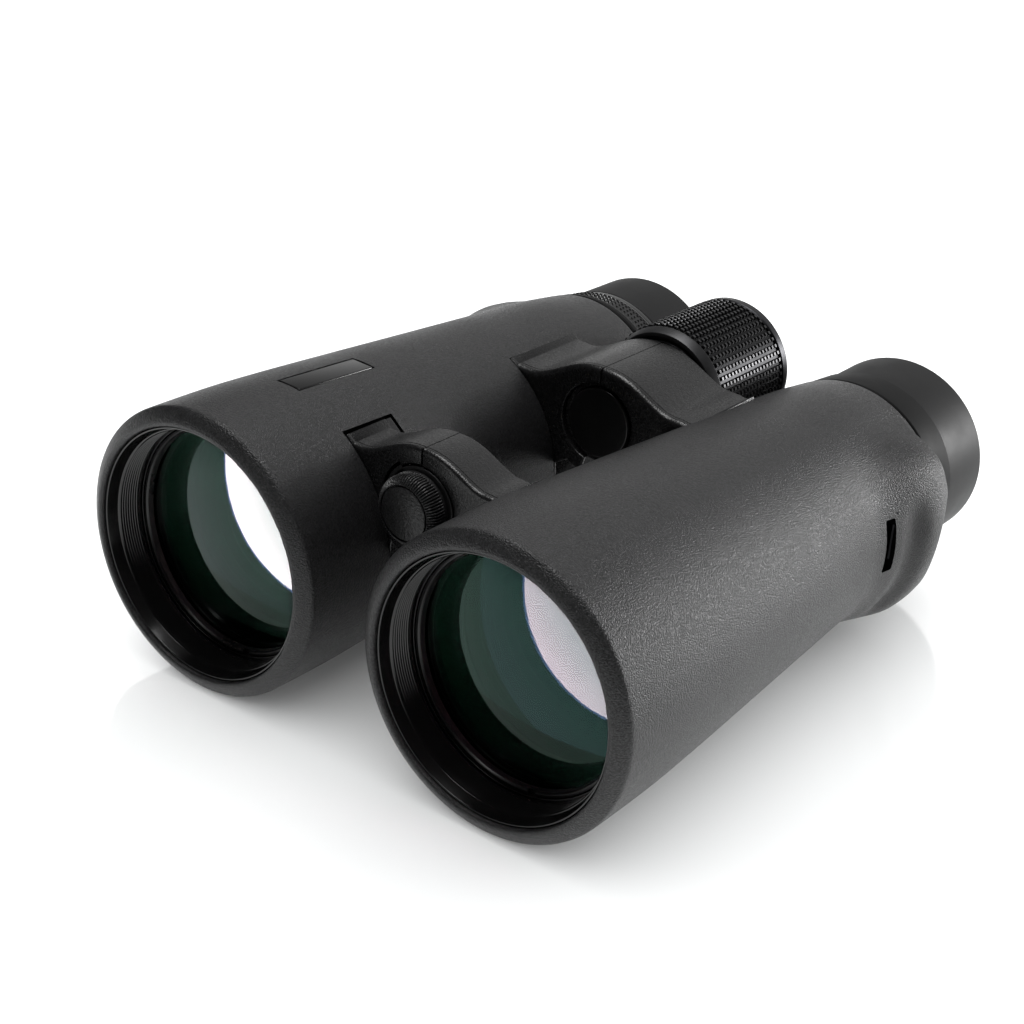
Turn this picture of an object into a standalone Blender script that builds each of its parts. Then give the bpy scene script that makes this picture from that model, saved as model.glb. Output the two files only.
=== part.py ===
"""Roof-prism binoculars, 42 mm objectives, open bridge.

The optical axes run along Y, objectives at -Y and eyepieces at +Y, Z up.  The
model rests on the two objective rims at Z = 0.  Sizes below are millimetres;
"station" is the distance behind the plane of the objective rims.
"""
import math

import bmesh
import bpy
from mathutils import Matrix, Vector

MM = 0.001

# ---------------------------------------------------------------- driving sizes
LENGTH = 139.2          # rim plane to eyecup rim
HALF_SPACING = 32.8     # hinge plane to each optical axis
AXIS_HEIGHT = 27.05     # optical axes above the ground
HINGE_RISE = 14.0       # hinge axis above the optical axes
GAP = 0.3               # clearance between neighbouring pieces
ARMOUR_WALL = 1.8       # rubber skin
HOUSING_WALL = 1.7      # barrel tube
ARMOUR_END = 114.3      # station where the rubber skin stops
BARREL_RADII = (        # (station, outside radius of the rubber skin)
    (0.0, 27.0), (8.0, 27.1), (16.0, 27.0), (28.0, 26.5), (44.0, 25.6),
    (64.0, 24.4), (84.0, 23.2), (104.0, 22.0), (ARMOUR_END, 20.8),
)
SKIN_SIDES = 40         # flats round the skin
SHOULDER_RISE = 4.2     # how far the strap shoulder stands off the barrel
SHOULDER_START = 84.0
SHOULDER_CREST = 105.5
SHOULDER_ANGLE = -7.0   # middle of the shoulder, degrees from the outboard side
SHOULDER_FLAT = 20.0    # half width of its full height, degrees
SHOULDER_FADE = 64.0    # half width where it dies out, degrees
FRONT_BRIDGE = (21.4, 31.6)
REAR_BRIDGE = (73.2, 93.9)
FRONT_ROOT_END = 33.2   # the front root reaches a little past its arm
FRONT_CROWN = (10.8, 6.7, 13.8)   # height on the hinge, in the saddle, half span
REAR_CROWN = (11.35, 6.1, 16.6)
FRONT_KNUCKLE_RADIUS = 7.3
REAR_KNUCKLE_RADIUS = 7.9
WHEEL = (94.9, 122.4)
WHEEL_RADIUS = 13.8
EYECUP_START = 123.9
EYECUP_RADIUS = 19.2
RING_START = ARMOUR_END + GAP
RING_END = 123.5

LEFT = -1
RIGHT = 1
SIDES = ((LEFT, "left"), (RIGHT, "right"))


# ------------------------------------------------------------------- workspace
def clear_file():
    for old in list(bpy.data.objects):
        bpy.data.objects.remove(old, do_unlink=True)
    for old in list(bpy.data.collections):
        bpy.data.collections.remove(old)


def new_collection(name):
    made = bpy.data.collections.new(name)
    bpy.context.scene.collection.children.link(made)
    return made


clear_file()
PARTS = new_collection("binoculars")
CUTTERS = new_collection("cutters")


# ------------------------------------------------------------------- materials
def material(name, colour, roughness, metallic=0.0, transmission=0.0):
    made = bpy.data.materials.new(name)
    made.use_nodes = True
    shader = made.node_tree.nodes["Principled BSDF"]
    shader.inputs["Base Color"].default_value = (*colour, 1.0)
    shader.inputs["Roughness"].default_value = roughness
    shader.inputs["Metallic"].default_value = metallic
    shader.inputs["Transmission Weight"].default_value = transmission
    made.diffuse_color = (*colour, 1.0)
    made.roughness = roughness
    made.metallic = metallic
    return made


def rubber(name):
    return material(name, (0.022, 0.022, 0.024), 0.62)


def satin_plastic(name):
    return material(name, (0.018, 0.018, 0.020), 0.42)


def gloss_plastic(name):
    return material(name, (0.010, 0.010, 0.011), 0.22)


def black_metal(name):
    return material(name, (0.015, 0.015, 0.016), 0.35, 1.0)


def plain_metal(name):
    return material(name, (0.62, 0.62, 0.64), 0.32, 1.0)


def brass(name):
    return material(name, (0.72, 0.53, 0.24), 0.30, 1.0)


def coated_glass(name):
    return material(name, (0.20, 0.42, 0.34), 0.03, 0.0, 0.9)


# -------------------------------------------------------------- shape helpers
def interpolate(table, station):
    for (s0, r0), (s1, r1) in zip(table, table[1:]):
        if station <= s1:
            share = (station - s0) / (s1 - s0)
            return r0 + (r1 - r0) * share
    return table[-1][1]


def barrel_radius(station):
    return interpolate(BARREL_RADII, station)


def housing_outer(station):
    return barrel_radius(station) - ARMOUR_WALL - GAP


def housing_inner(station):
    return housing_outer(station) - HOUSING_WALL


def place(station):
    return (station - LENGTH / 2) * MM


def finish(obj, collection, shade):
    collection.objects.link(obj)
    if shade:
        obj.data.materials.append(shade)
    if collection is CUTTERS:
        obj.hide_render = True
        obj.display_type = "WIRE"
    return obj


def smooth(obj, angle=35.0):
    for face in obj.data.polygons:
        face.use_smooth = True
    obj.data.set_sharp_from_angle(angle=math.radians(angle))
    return obj


def signed_area(points):
    pairs = zip(points, points[1:] + points[:1])
    return 0.5 * sum(x0 * y1 - x1 * y0 for (x0, y0), (x1, y1) in pairs)


def turned(name, profile, x, z, shade, segments=24, collection=None, base=0.0):
    """Spin (radius, station) points about an axis parallel to Y.

    A profile that starts and ends on the axis makes a solid; any other one is
    closed into a ring.  The object's origin sits on the axis at station base.
    """
    on_axis = profile[0][0] == 0.0 and profile[-1][0] == 0.0
    points = list(profile)
    if signed_area(points) > 0:
        points.reverse()
    mesh = bpy.data.meshes.new(name)
    verts = [(r * MM, 0.0, (s - base) * MM) for r, s in points]
    edges = [(i, i + 1) for i in range(len(verts) - 1)]
    if not on_axis:
        edges.append((len(verts) - 1, 0))
    mesh.from_pydata(verts, edges, [])
    obj = bpy.data.objects.new(name, mesh)
    obj.location = (x * MM, place(base), z * MM)
    obj.rotation_euler = (-math.pi / 2, 0.0, 0.0)
    screw = obj.modifiers.new("spin", "SCREW")
    screw.steps = segments
    screw.render_steps = segments
    screw.use_merge_vertices = True
    screw.merge_threshold = 0.00001
    screw.use_smooth_shade = True
    return finish(obj, collection or PARTS, shade)


def plate(name, outlines, start, end, shade=None, collection=None):
    """Extrude closed (x, z) outlines along Y between two stations."""
    curve = bpy.data.curves.new(name, "CURVE")
    curve.dimensions = "2D"
    curve.fill_mode = "BOTH"
    curve.extrude = (end - start) * MM / 2
    for outline in outlines:
        spline = curve.splines.new("POLY")
        spline.points.add(len(outline) - 1)
        for point, (x, z) in zip(spline.points, outline):
            point.co = (x * MM, -z * MM, 0.0, 1.0)
        spline.use_cyclic_u = True
    drawn = bpy.data.objects.new(name + "_outline", curve)
    bpy.context.scene.collection.objects.link(drawn)
    graph = bpy.context.evaluated_depsgraph_get()
    mesh = bpy.data.meshes.new_from_object(drawn.evaluated_get(graph))
    bpy.data.objects.remove(drawn, do_unlink=True)
    welded = bmesh.new()
    welded.from_mesh(mesh)
    bmesh.ops.remove_doubles(welded, verts=welded.verts, dist=0.000001)
    bmesh.ops.recalc_face_normals(welded, faces=welded.faces)
    welded.to_mesh(mesh)
    welded.free()
    mesh.materials.clear()
    obj = bpy.data.objects.new(name, mesh)
    obj.rotation_euler = (-math.pi / 2, 0.0, 0.0)
    obj.location = (0.0, place((start + end) / 2), 0.0)
    return finish(obj, collection or PARTS, shade)


def block(name, centre, size, shade=None, collection=None, turn=None):
    mesh = bpy.data.meshes.new(name)
    cube = bmesh.new()
    bmesh.ops.create_cube(cube, size=1.0)
    scale = Matrix.Diagonal(Vector((size[0] * MM, size[1] * MM, size[2] * MM, 1.0)))
    bmesh.ops.transform(cube, matrix=scale, verts=cube.verts)
    cube.to_mesh(mesh)
    cube.free()
    obj = bpy.data.objects.new(name, mesh)
    obj.location = (centre[0] * MM, place(centre[1]), centre[2] * MM)
    if turn:
        obj.rotation_euler = turn
    return finish(obj, collection or PARTS, shade)


def bevel(obj, width, segments=2, angle=40.0):
    rounding = obj.modifiers.new("rounded edges", "BEVEL")
    rounding.width = width * MM
    rounding.segments = segments
    rounding.limit_method = "ANGLE"
    rounding.angle_limit = math.radians(angle)
    return obj


def boolean(obj, other, operation):
    step = obj.modifiers.new(operation.lower() + " " + other.name, "BOOLEAN")
    step.operation = operation
    step.solver = "EXACT"
    step.object = other
    return obj


def cut(obj, other):
    return boolean(obj, other, "DIFFERENCE")


def add(obj, other):
    return boolean(obj, other, "UNION")


def arc(cx, cz, radius, start, end, steps):
    """Points on a circle in the XZ plane, degrees from +X towards +Z."""
    made = []
    for i in range(steps + 1):
        a = math.radians(start + (end - start) * i / steps)
        made.append((cx + radius * math.cos(a), cz + radius * math.sin(a)))
    return made


def mirrored(points, side):
    """Left-hand outlines flipped over for the right-hand side."""
    if side == LEFT:
        return list(points)
    return [(-x, z) for x, z in points]


# ----------------------------------------------------------------- rubber skins
def smoothstep(value):
    value = min(1.0, max(0.0, value))
    return value * value * (3.0 - 2.0 * value)


def shoulder(station, angle):
    """Extra radius of the strap shoulder; angle in degrees from outboard."""
    if station <= SHOULDER_CREST:
        along = smoothstep((station - SHOULDER_START) / (SHOULDER_CREST - SHOULDER_START))
    else:
        along = 1.0 - (station - SHOULDER_CREST) / (ARMOUR_END - 0.8 - SHOULDER_CREST)
    off = abs((angle - SHOULDER_ANGLE + 180.0) % 360.0 - 180.0)
    around = 1.0 - smoothstep((off - SHOULDER_FLAT) / (SHOULDER_FADE - SHOULDER_FLAT))
    return SHOULDER_RISE * max(0.0, along) * around


def skin_rings():
    """(station, radius, carries the shoulder) for one loop round the skin wall."""
    lip = 24.8
    lip_depth = 2.9
    outside = [(0.0, 25.6, False), (0.35, 26.5, False), (1.3, 27.0, False)]
    for station in (12.0, 28.0, 54.0, 84.0):
        outside.append((station, barrel_radius(station), False))
    for station in (90.0, 95.0, 100.0, SHOULDER_CREST):
        outside.append((station, barrel_radius(station), True))
    outside.append((ARMOUR_END - 0.8, barrel_radius(ARMOUR_END - 0.8), False))
    outside.append((ARMOUR_END, barrel_radius(ARMOUR_END) - 0.4, False))
    inside = []
    for station in (ARMOUR_END, 104.0, 64.0, 28.0, lip_depth):
        inside.append((station, barrel_radius(station) - ARMOUR_WALL, False))
    inside.append((lip_depth, lip, False))
    inside.append((0.0, lip, False))
    return outside + inside


def skin(side, name):
    """Rubber armour: a round tube whose outboard rear swells into a shoulder."""
    count = SKIN_SIDES
    rings = skin_rings()
    mesh = bpy.data.meshes.new(name)
    shell = bmesh.new()
    rows = []
    for station, radius, swells in rings:
        row = []
        for i in range(count):
            a = 360.0 * i / count
            r = radius + (shoulder(station, a) if swells else 0.0)
            x = side * r * math.cos(math.radians(a))
            z = r * math.sin(math.radians(a))
            row.append(shell.verts.new((x * MM, station * MM, z * MM)))
        rows.append(row)
    for here, there in zip(rows, rows[1:] + rows[:1]):
        for i in range(count):
            j = (i + 1) % count
            shell.faces.new((here[i], here[j], there[j], there[i]))
    bmesh.ops.recalc_face_normals(shell, faces=shell.faces)
    shell.to_mesh(mesh)
    shell.free()
    obj = bpy.data.objects.new(name, mesh)
    obj.location = (side * HALF_SPACING * MM, place(0.0), AXIS_HEIGHT * MM)
    return finish(obj, PARTS, rubber(name))


SLOT_STATION = 92.8
SLOT_HEIGHT = AXIS_HEIGHT + 1.6
PIN_STATION = 93.4


def strap_cutters(obj, side, label):
    """Slot in the side, the tunnel behind it and the seat of the strap pin."""
    x = side * (HALF_SPACING + 24.0)
    slot = block("slot_" + label, (x, SLOT_STATION, SLOT_HEIGHT), (5.4, 2.8, 10.6),
                 collection=CUTTERS)
    cut(obj, slot)
    x = side * (HALF_SPACING + 22.2)
    tunnel = block("tunnel_" + label, (x, 105.0, SLOT_HEIGHT), (1.8, 23.0, 8.0),
                   collection=CUTTERS)
    cut(obj, tunnel)
    x = side * (HALF_SPACING + 22.4)
    seat = block("pin_seat_" + label, (x, PIN_STATION, SLOT_HEIGHT), (1.9, 1.9, 13.2),
                 collection=CUTTERS)
    cut(obj, seat)


def pad_window(obj, side, label, bridge, low, high):
    """Opening in the skin that the root of a bridge arm sits in."""
    middle = barrel_radius(sum(bridge) / 2)
    inner = middle - 5.0
    outer = middle + 5.0
    spare = math.degrees(GAP / middle)
    outline = arc(LEFT * HALF_SPACING, AXIS_HEIGHT, outer, low - spare, high + spare, 14)
    outline += arc(LEFT * HALF_SPACING, AXIS_HEIGHT, inner, high + spare, low - spare, 14)
    if side == RIGHT:
        outline = mirrored(outline, side)
    window = plate("window_" + label, [outline], bridge[0] - GAP, bridge[1] + GAP,
                   collection=CUTTERS)
    cut(obj, window)


def wheel_relief(obj, label):
    """Shallow hollow that lets a fingertip and the focus wheel clear the skin."""
    reach = WHEEL_RADIUS + 0.5
    start = WHEEL[0] - 2.0
    hollow = [(0.0, start), (reach - 1.0, start), (reach, start + 2.0), (reach, ARMOUR_END + 1.0),
              (0.0, ARMOUR_END + 1.0)]
    cut(obj, turned("relief_" + label, hollow, 0.0, AXIS_HEIGHT + HINGE_RISE, None, 48, CUTTERS))


def make_armour(side, label):
    obj = skin(side, "armour_" + label)
    strap_cutters(obj, side, label)
    wheel_relief(obj, label)
    pad_window(obj, side, "front_" + label, (FRONT_BRIDGE[0], FRONT_ROOT_END), *FRONT_PAD)
    pad_window(obj, side, "rear_" + label, REAR_BRIDGE, *REAR_PAD)
    if side == LEFT:
        cut(obj, plate_pocket())
    return smooth(obj)


def make_strap_pin(side, label):
    x = side * (HALF_SPACING + 22.4)
    name = "strap_pin_" + label
    mesh = bpy.data.meshes.new(name)
    rod = bmesh.new()
    bmesh.ops.create_cone(rod, cap_ends=True, segments=12, radius1=0.6 * MM,
                          radius2=0.6 * MM, depth=12.4 * MM)
    rod.to_mesh(mesh)
    rod.free()
    obj = bpy.data.objects.new(name, mesh)
    obj.location = (x * MM, place(PIN_STATION), SLOT_HEIGHT * MM)
    return smooth(finish(obj, PARTS, plain_metal(name)))


# ------------------------------------------------------------------- name plate
PLATE_STATION = 31.8
PLATE_ANGLE = 87.6      # degrees round the left barrel
PLATE_SIZE = (5.0, 19.4)
PLATE_THICKNESS = 0.9


def plate_frame(sink):
    """Centre and tilt of the plate sunk below the taper of the left barrel."""
    radius = barrel_radius(PLATE_STATION) - sink
    a = math.radians(PLATE_ANGLE)
    x = LEFT * HALF_SPACING + radius * math.cos(a)
    z = AXIS_HEIGHT + radius * math.sin(a)
    slope = math.atan((barrel_radius(42.0) - barrel_radius(22.0)) / 20.0)
    return (x, PLATE_STATION, z), (slope, math.radians(90.0 - PLATE_ANGLE), 0.0)


def plate_pocket():
    centre, turn = plate_frame(0.0)
    size = (PLATE_SIZE[0] + 2 * GAP, PLATE_SIZE[1] + 2 * GAP, 2.6)
    return block("plate_pocket", centre, size, collection=CUTTERS, turn=turn)


def make_name_plate():
    centre, turn = plate_frame(0.5)
    size = (PLATE_SIZE[0], PLATE_SIZE[1], PLATE_THICKNESS)
    name = "name_plate"
    obj = block(name, centre, size, black_metal(name), turn=turn)
    return bevel(obj, 0.25)


# ---------------------------------------------------------------- bridge arms
FRONT_PAD = (-10.0, 54.5)   # angles the root covers on the barrel
REAR_PAD = (-4.0, 62.0)
SECTOR_FOOT = 245.0         # where the hub skin stops underneath


def crown_line(crown, root, steps):
    """Top of an arm, from the hinge over the saddle and up to its root."""
    top, low, span = crown
    hub_z = AXIS_HEIGHT + HINGE_RISE
    made = []
    for i in range(1, steps):
        x = span * i / steps
        fall = smoothstep((x / span) ** 1.3)
        made.append((-x, hub_z + top - (top - low) * fall))
    for i in range(4):
        u = i / 4
        x = -span + (root[0] + span) * u
        made.append((x, hub_z + low + (root[1] - hub_z - low) * u * u))
    return made


def arm_outline(bridge, crown, knuckle_radius, pad, proud):
    """Left-hand arm seen along Y: crown, saddle and the root on the barrel."""
    hub_z = AXIS_HEIGHT + HINGE_RISE
    cx = LEFT * HALF_SPACING
    skin_radius = barrel_radius(sum(bridge) / 2)
    seam = math.degrees(0.5 * GAP / crown[0])
    start = arc(0.0, hub_z, crown[0], 90.0 + seam, 90.0 + 2 * seam, 1)[:1]
    root_top = arc(cx, AXIS_HEIGHT, skin_radius + proud, pad[1] - 4.0, pad[1], 2)
    root_under = arc(cx, AXIS_HEIGHT, skin_radius - 3.0, pad[1], pad[0], 4)
    belly = arc(cx, AXIS_HEIGHT, skin_radius + 0.3, pad[0], 6.0, 3)
    foot = arc(0.0, hub_z, crown[0], SECTOR_FOOT - 8.0, SECTOR_FOOT, 2)
    inner = arc(0.0, hub_z, knuckle_radius + GAP, SECTOR_FOOT, 90.0 + 1.5 * seam, 12)
    outline = start + crown_line(crown, root_top[0], 9)
    return outline + root_top + root_under + belly + foot + inner


def root_outline(bridge, pad, proud):
    """Ring segment of the root that lies in the skin of the left barrel."""
    radius = barrel_radius(sum(bridge) / 2)
    cx = LEFT * HALF_SPACING
    outline = arc(cx, AXIS_HEIGHT, radius + proud - 0.1, pad[0] + 1.0, pad[1], 8)
    return outline + arc(cx, AXIS_HEIGHT, radius - 3.0, pad[1], pad[0] + 1.0, 8)


def knuckle_web(side, knuckle_radius):
    """Short wedge that ties the knuckle disc to the surrounding hub skin."""
    hub_z = AXIS_HEIGHT + HINGE_RISE
    outline = arc(0.0, hub_z, knuckle_radius + 1.2, 125.0, 236.0, 10)
    outline += arc(0.0, hub_z, knuckle_radius - 1.4, 236.0, 125.0, 10)
    return mirrored(outline, side)


def housing_clearance(side, label):
    points = [(0.0, 0.0)]
    for station in (0.0, 16.0, 28.0, 44.0, 64.0, 84.0, 104.0):
        points.append((housing_outer(station) + GAP, station))
    points.append((0.0, 104.0))
    return turned("clear_" + label, points, side * HALF_SPACING, AXIS_HEIGHT, None,
                  segments=48, collection=CUTTERS)


def make_arm(side, label, where, knuckle):
    """One bridge arm; knuckle = (start, end, bore radius)."""
    front = where == "front"
    bridge = FRONT_BRIDGE if front else REAR_BRIDGE
    crown = FRONT_CROWN if front else REAR_CROWN
    disc = FRONT_KNUCKLE_RADIUS if front else REAR_KNUCKLE_RADIUS
    pad = FRONT_PAD if front else REAR_PAD
    proud = 0.4 if front else 0.7
    name = where + "_arm_" + label
    outline = mirrored(arm_outline(bridge, crown, disc, pad, proud), side)
    obj = plate(name, [outline], bridge[0], bridge[1], rubber(name))
    if front:
        root = mirrored(root_outline(bridge, pad, proud), side)
        add(obj, plate("root_" + label, [root], bridge[0] + 1.0, FRONT_ROOT_END,
                       collection=CUTTERS))
    cut(obj, housing_clearance(side, where + "_" + label))
    hub_z = AXIS_HEIGHT + HINGE_RISE
    tag = where + "_" + label
    start, end, bore = knuckle
    web = plate("web_" + tag, [knuckle_web(side, disc)], start, end, collection=CUTTERS)
    add(obj, web)
    solid = [(0.0, start), (disc, start), (disc, end), (0.0, end)]
    add(obj, turned("knuckle_" + tag, solid, 0.0, hub_z, None, 32, CUTTERS))
    hole = [(0.0, start - 1.0), (bore, start - 1.0), (bore, end + 1.0), (0.0, end + 1.0)]
    cut(obj, turned("bore_" + tag, hole, 0.0, hub_z, None, 32, CUTTERS))
    return obj


# ---------------------------------------------------------- hinge and its trim
HUB_Z = AXIS_HEIGHT + HINGE_RISE
FRONT_SPLIT = 25.8
REAR_SPLIT = 82.3
REAR_FACE = 75.2


def on_hinge(name, profile, shade, segments=24, base=0.0):
    return turned(name, profile, 0.0, HUB_Z, shade, segments, base=base)


def make_hinge():
    on_hinge("front_axle", [(0.0, 31.3), (5.0, 31.3), (5.0, 21.5), (3.5, 21.5), (3.5, 28.6),
                            (0.0, 28.6)][::-1], plain_metal("front_axle"))
    on_hinge("front_bush", [(5.3, FRONT_SPLIT + 0.2), (6.2, FRONT_SPLIT + 0.2),
                            (6.2, 31.3), (5.3, 31.3)], brass("front_bush"))
    on_hinge("rear_axle", [(4.2, REAR_FACE + 0.3), (5.5, REAR_FACE + 0.3), (5.5, 94.2),
                           (11.3, 94.2), (11.3, 94.6), (11.1, 94.8), (5.5, 94.8), (5.5, 110.0),
                           (4.2, 110.0)], black_metal("rear_axle"), 20)
    on_hinge("rear_bush", [(5.8, REAR_SPLIT + 0.4), (6.6, REAR_SPLIT + 0.4),
                           (6.6, 93.6), (5.8, 93.6)], brass("rear_bush"))
    on_hinge("rear_hub_cover", [(0.0, 74.9), (7.1, 74.9), (7.1, 73.9), (6.8, 73.6), (0.0, 73.6)],
             satin_plastic("rear_hub_cover"), 32)


def make_tripod_cap():
    """Screw-in cap over the quarter-inch tripod socket of the front axle."""
    name = "tripod_cap"
    profile = [(0.0, 27.6), (2.8, 27.6), (3.15, 27.2), (3.15, 19.9), (5.4, 19.9), (5.4, 21.1),
               (6.8, 21.1), (6.8, 18.8), (6.3, 18.0), (5.0, 17.0), (0.0, 17.0)]
    on_hinge(name, profile, satin_plastic(name), 24, base=17.0)
    name = "cap_seal"
    seal = [(3.5, 20.2), (5.1, 20.2), (5.1, 20.9), (3.5, 20.9)]
    on_hinge(name, seal, rubber(name), 20, base=17.0)


# ----------------------------------------------------------------- focus drive
def fluted(radius, depth, count):
    outline = []
    for i in range(count):
        a = 2.0 * math.pi * i / count
        r = radius - (depth if i % 2 else 0.0)
        outline.append((r * math.cos(a), HUB_Z + r * math.sin(a)))
    return outline


def make_focus_drive():
    name = "focus_wheel"
    profile = [(5.8, WHEEL[0] + 0.2), (12.6, WHEEL[0] + 0.2), (13.2, WHEEL[0] + 0.9),
               (13.2, WHEEL[0] + 2.0), (12.2, WHEEL[0] + 2.0), (12.2, WHEEL[1] - 3.1),
               (5.8, WHEEL[1] - 3.1)]
    on_hinge(name, profile, satin_plastic(name), 32, base=WHEEL[0])
    name = "focus_grip"
    hole = arc(0.0, HUB_Z, 12.5, 0.0, 350.0, 35)
    grip = plate(name, [fluted(WHEEL_RADIUS, 0.35, 72), hole], WHEEL[0] + 2.3, WHEEL[1] - 3.1,
                 rubber(name))
    recentre(grip, 0.0, HUB_Z)
    name = "focus_end_cap"
    profile = [(0.0, WHEEL[1] - 0.5), (11.0, WHEEL[1] - 0.5), (12.6, WHEEL[1]), (13.4, WHEEL[1] - 0.5),
               (13.7, WHEEL[1] - 1.2), (13.7, WHEEL[1] - 2.8), (0.0, WHEEL[1] - 2.8)]
    on_hinge(name, profile, gloss_plastic(name), 32, base=WHEEL[1])
    name = "focus_spindle"
    profile = [(0.0, 118.2), (3.0, 118.2), (3.0, 111.0), (2.0, 110.5), (2.0, 86.0), (0.0, 86.0)]
    on_hinge(name, profile, plain_metal(name), 16, base=100.0)
    name = "focus_carriage"
    profile = [(0.0, 77.0), (3.9, 77.0), (3.9, 100.0), (2.3, 100.0), (2.3, 82.6), (0.0, 82.6)]
    on_hinge(name, profile, brass(name), 16, base=88.0)


def recentre(obj, x, z):
    """Move an extruded piece's origin on to a line parallel to Y."""
    obj.data.transform(Matrix.Translation((-x * MM, z * MM, 0.0)))
    obj.location.x = x * MM
    obj.location.z = z * MM


# ------------------------------------------------------------------ one barrel
def on_barrel(name, side, profile, shade, segments=20, base=0.0):
    return turned(name, profile, side * HALF_SPACING, AXIS_HEIGHT, shade, segments, base=base)


def make_housing(side, label):
    name = "housing_" + label
    outside = [(housing_outer(s), s) for s in (3.2, 28.0, 64.0, 104.0, 113.6)]
    inside = [(housing_inner(s), s) for s in (3.2, 28.0, 64.0, 113.6)]
    on_barrel(name, side, outside + inside[::-1], satin_plastic(name), 30)


def make_objective(side, label):
    name = "bezel_" + label
    on_barrel(name, side, [(24.2, 0.5), (24.5, 0.9), (24.5, 2.8), (22.9, 2.8), (22.9, 7.9),
                           (22.0, 7.9), (22.0, 2.0)], gloss_plastic(name), 36)
    name = "objective_cell_" + label
    on_barrel(name, side, [(22.5, 8.2), (22.5, 25.0), (20.4, 25.0), (20.4, 17.4), (22.0, 17.4),
                           (22.0, 8.2)], black_metal(name), 24)
    name = "retaining_ring_" + label
    ring = on_barrel(name, side, [(21.7, 8.4), (21.7, 9.8), (20.9, 9.8), (20.9, 8.6)],
                     black_metal(name), 28)
    for i, a in enumerate((102.0, 282.0)):
        spot = arc(side * HALF_SPACING, AXIS_HEIGHT, 21.3, a, a + 1.0, 1)[0]
        notch = block("notch_" + label + str(i), (spot[0], 8.4, spot[1]), (1.6, 1.2, 2.4),
                      collection=CUTTERS, turn=(0.0, math.radians(90.0 - a), 0.0))
        cut(ring, notch)
    name = "objective_lens_" + label
    front = dome(21.7, 10.3, -2.4, 4)
    back = dome(21.7, 14.5, 0.9, 2)
    on_barrel(name, side, front + back[::-1], coated_glass(name), 24)


def dome(radius, edge, rise, steps):
    """Spherical lens face from the axis out to its edge; rise along +Y."""
    made = []
    for i in range(steps + 1):
        r = radius * i / steps
        made.append((r, edge + rise * (1.0 - (r / radius) ** 2)))
    return made


def make_inner_optics(side, label):
    name = "baffle_" + label
    on_barrel(name, side, [(21.4, 26.0), (21.4, 38.0), (17.6, 38.0), (18.4, 32.2), (19.6, 32.2),
                           (20.4, 26.0)], satin_plastic(name), 20)
    name = "focus_cell_" + label
    on_barrel(name, side, [(19.8, 44.0), (19.8, 51.0), (15.2, 51.0), (15.2, 49.2), (16.6, 49.2),
                           (16.6, 44.0)], black_metal(name), 20, base=47.5)
    name = "focus_lens_" + label
    front = dome(16.3, 45.6, 1.0, 2)
    back = dome(16.3, 48.8, -0.9, 2)
    on_barrel(name, side, front + back[::-1], coated_glass(name), 20, base=47.5)
    name = "prism_cage_" + label
    on_barrel(name, side, [(18.4, 61.0), (18.4, 91.0), (16.8, 91.0), (16.8, 61.0)],
              black_metal(name), 20)
    make_prisms(side, label)


def wedge(name, side, outline, width, shade):
    """Prism: a side-view outline (station, height) carried across in X."""
    mesh = bpy.data.meshes.new(name)
    solid = bmesh.new()
    half = width / 2
    rows = []
    for x in (-half, half):
        row = [solid.verts.new((x * MM, s * MM, h * MM)) for s, h in outline]
        rows.append(row)
    count = len(outline)
    solid.faces.new(rows[0])
    solid.faces.new(rows[1][::-1])
    for i in range(count):
        j = (i + 1) % count
        solid.faces.new((rows[0][j], rows[0][i], rows[1][i], rows[1][j]))
    bmesh.ops.recalc_face_normals(solid, faces=solid.faces)
    solid.to_mesh(mesh)
    solid.free()
    obj = bpy.data.objects.new(name, mesh)
    obj.location = (side * HALF_SPACING * MM, place(0.0), AXIS_HEIGHT * MM)
    return finish(obj, PARTS, shade)


def make_prisms(side, label):
    name = "helper_prism_" + label
    wedge(name, side, [(62.5, -9.5), (62.5, 9.5), (69.5, 11.5), (76.0, -2.0), (72.0, -9.5)], 18.0,
          coated_glass(name))
    name = "roof_prism_" + label
    wedge(name, side, [(76.6, -2.6), (70.1, 11.5), (75.0, 12.6), (90.0, 9.0), (90.0, -9.5),
                       (73.2, -9.5)], 18.0, coated_glass(name))


def make_eyepiece(side, label):
    name = "eyepiece_sleeve_" + label
    on_barrel(name, side, [(16.2, 96.0), (16.2, 136.4), (15.2, 136.4), (15.2, 96.0)],
              black_metal(name), 24)
    name = "ocular_tube_" + label
    on_barrel(name, side, [(14.9, 99.0), (14.9, 134.0), (11.6, 134.4), (11.6, 133.2), (13.2, 133.0),
                           (13.2, 99.0)], black_metal(name), 24, base=116.0)
    name = "field_lens_" + label
    front = dome(12.9, 101.5, -1.2, 2)
    back = dome(12.9, 103.5, 1.4, 2)
    on_barrel(name, side, front + back[::-1], coated_glass(name), 20, base=102.0)
    name = "eye_lens_" + label
    front = dome(12.9, 128.6, -1.4, 3)
    back = dome(12.9, 131.2, 1.3, 3)
    on_barrel(name, side, front + back[::-1], coated_glass(name), 24, base=130.0)
    name = "eyecup_carrier_" + label
    on_barrel(name, side, [(16.5, 124.4), (17.1, 124.4), (17.1, 128.2), (16.5, 128.2)],
              black_metal(name), 24, base=EYECUP_START)
    name = "eyecup_core_" + label
    on_barrel(name, side, [(17.4, 124.0), (18.0, 124.0), (18.0, 137.4), (17.4, 137.4)],
              black_metal(name), 24, base=EYECUP_START)
    name = "eyecup_" + label
    end = LENGTH
    on_barrel(name, side, [(18.3, EYECUP_START), (18.9, EYECUP_START), (EYECUP_RADIUS, 124.2),
                           (EYECUP_RADIUS, end - 1.1), (18.3, end), (13.4, end),
                           (12.8, end - 1.5), (18.3, end - 1.5)],
              rubber(name), 36, base=EYECUP_START)


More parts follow.
